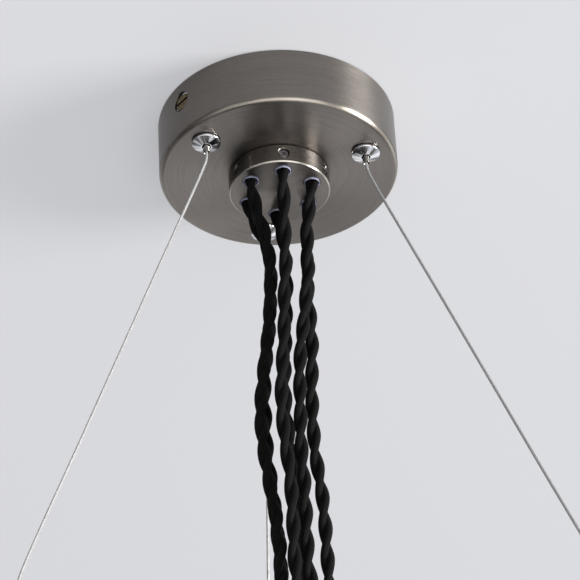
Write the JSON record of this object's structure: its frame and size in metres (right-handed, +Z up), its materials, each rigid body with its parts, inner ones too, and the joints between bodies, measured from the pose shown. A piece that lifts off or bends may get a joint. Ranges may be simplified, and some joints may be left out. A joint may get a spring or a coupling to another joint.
{
  "type": "multi-cord ceiling canopy",
  "caption": "Round ceiling canopy with a cord hub, twisted pendant cords ending in lampholders, and leaning suspension wires held in cable grippers.",
  "frame": {"origin": "middle of the ceiling plane, on the top face of the ceiling bracket", "axes": "+Z up into the ceiling; the cords and wires hang towards -Z; -Y faces the pictured side"},
  "size_m": [0.2379, 0.2284, 0.342],
  "materials": {
    "brushed_nickel": "turned and brushed, satin lacquer",
    "polished_chrome": "polished plating",
    "zinc_steel": "bright zinc plating",
    "aged_brass": "darkened brass",
    "wire_rope": "stranded steel wire",
    "black_fabric": "braided textile sleeve over a twisted pair",
    "black_plastic": "moulded thermoset",
    "clear_plastic": "thin translucent sleeve",
    "white_plastic": "moulded nylon",
    "lead_insulation": "smooth insulation"
  },
  "bodies": {
    "canopy_assembly": {"ceiling_bracket": "zinc_steel", "terminal_block": "white_plastic", "block_screw_1": "zinc_steel", "block_screw_2": "zinc_steel", "earth_screw": "aged_brass", "earth_lead": "lead_insulation", "canopy_cup": "brushed_nickel", "cord_hub": "brushed_nickel", "hub_screw": "zinc_steel", "hub_washer": "zinc_steel", "cord_sleeve_1": "clear_plastic", "cord_1": "black_fabric", "lampholder_1": "black_plastic", "cord_sleeve_2": "clear_plastic", "cord_2": "black_fabric", "lampholder_2": "black_plastic", "cord_sleeve_3": "clear_plastic", "cord_3": "black_fabric", "lampholder_3": "black_plastic", "cord_sleeve_4": "clear_plastic", "cord_4": "black_fabric", "lampholder_4": "black_plastic", "cord_sleeve_5": "clear_plastic", "cord_5": "black_fabric", "lampholder_5": "black_plastic", "cord_sleeve_6": "clear_plastic", "cord_6": "black_fabric", "lampholder_6": "black_plastic", "gripper_body_1": "polished_chrome", "gripper_nut_1": "zinc_steel", "gripper_spring_1": "zinc_steel", "suspension_wire_1": "wire_rope", "wire_ferrule_1": "zinc_steel", "gripper_body_2": "polished_chrome", "gripper_nut_2": "zinc_steel", "gripper_spring_2": "zinc_steel", "suspension_wire_2": "wire_rope", "wire_ferrule_2": "zinc_steel", "gripper_body_3": "polished_chrome", "gripper_nut_3": "zinc_steel", "gripper_spring_3": "zinc_steel", "suspension_wire_3": "wire_rope", "wire_ferrule_3": "zinc_steel"},
    "release_1": {"gripper_plunger_1": "polished_chrome"},
    "release_2": {"gripper_plunger_2": "polished_chrome"},
    "release_3": {"gripper_plunger_3": "polished_chrome"},
    "grub_1": {"grub_screw_1": "polished_chrome"},
    "grub_2": {"grub_screw_2": "polished_chrome"},
    "grub_3": {"grub_screw_3": "polished_chrome"},
    "grub_4": {"grub_screw_4": "polished_chrome"},
    "grub_5": {"grub_screw_5": "polished_chrome"},
    "grub_6": {"grub_screw_6": "polished_chrome"},
    "side_1": {"side_screw_1": "aged_brass"},
    "side_2": {"side_screw_2": "aged_brass"}
  },
  "joints": [
    {"name": "gripper_release_1", "type": "slide", "parent": "canopy_assembly", "child": "release_1", "axis": [0, 0, 1], "range_m": [0, 0.0015], "stiffness_N_per_m": 400, "springref_m": -0.002, "deforming": ["gripper_spring_1"]},
    {"name": "gripper_release_2", "type": "slide", "parent": "canopy_assembly", "child": "release_2", "axis": [0, 0, 1], "range_m": [0, 0.0015], "stiffness_N_per_m": 400, "springref_m": -0.002, "deforming": ["gripper_spring_2"]},
    {"name": "gripper_release_3", "type": "slide", "parent": "canopy_assembly", "child": "release_3", "axis": [0, 0, 1], "range_m": [0, 0.0015], "stiffness_N_per_m": 400, "springref_m": -0.002, "deforming": ["gripper_spring_3"]},
    {"name": "grub_travel_1", "type": "slide", "parent": "canopy_assembly", "child": "grub_1", "axis": [0.1219, -0.9925, 0], "range_m": [0, 0.002]},
    {"name": "grub_travel_2", "type": "slide", "parent": "canopy_assembly", "child": "grub_2", "axis": [0.9205, -0.3907, 0], "range_m": [0, 0.002]},
    {"name": "grub_travel_3", "type": "slide", "parent": "canopy_assembly", "child": "grub_3", "axis": [0.7986, 0.6018, 0], "range_m": [0, 0.002]},
    {"name": "grub_travel_4", "type": "slide", "parent": "canopy_assembly", "child": "grub_4", "axis": [-0.1219, 0.9925, 0], "range_m": [0, 0.002]},
    {"name": "grub_travel_5", "type": "slide", "parent": "canopy_assembly", "child": "grub_5", "axis": [-0.9205, 0.3907, 0], "range_m": [0, 0.002]},
    {"name": "grub_travel_6", "type": "slide", "parent": "canopy_assembly", "child": "grub_6", "axis": [-0.7986, -0.6018, 0], "range_m": [0, 0.002]},
    {"name": "side_screw_travel_1", "type": "slide", "parent": "canopy_assembly", "child": "side_1", "axis": [0.7771, 0.6293, 0], "range_m": [0, 0.0017]},
    {"name": "side_screw_travel_2", "type": "slide", "parent": "canopy_assembly", "child": "side_2", "axis": [-0.7771, -0.6293, 0], "range_m": [0, 0.0017]}
  ]
}
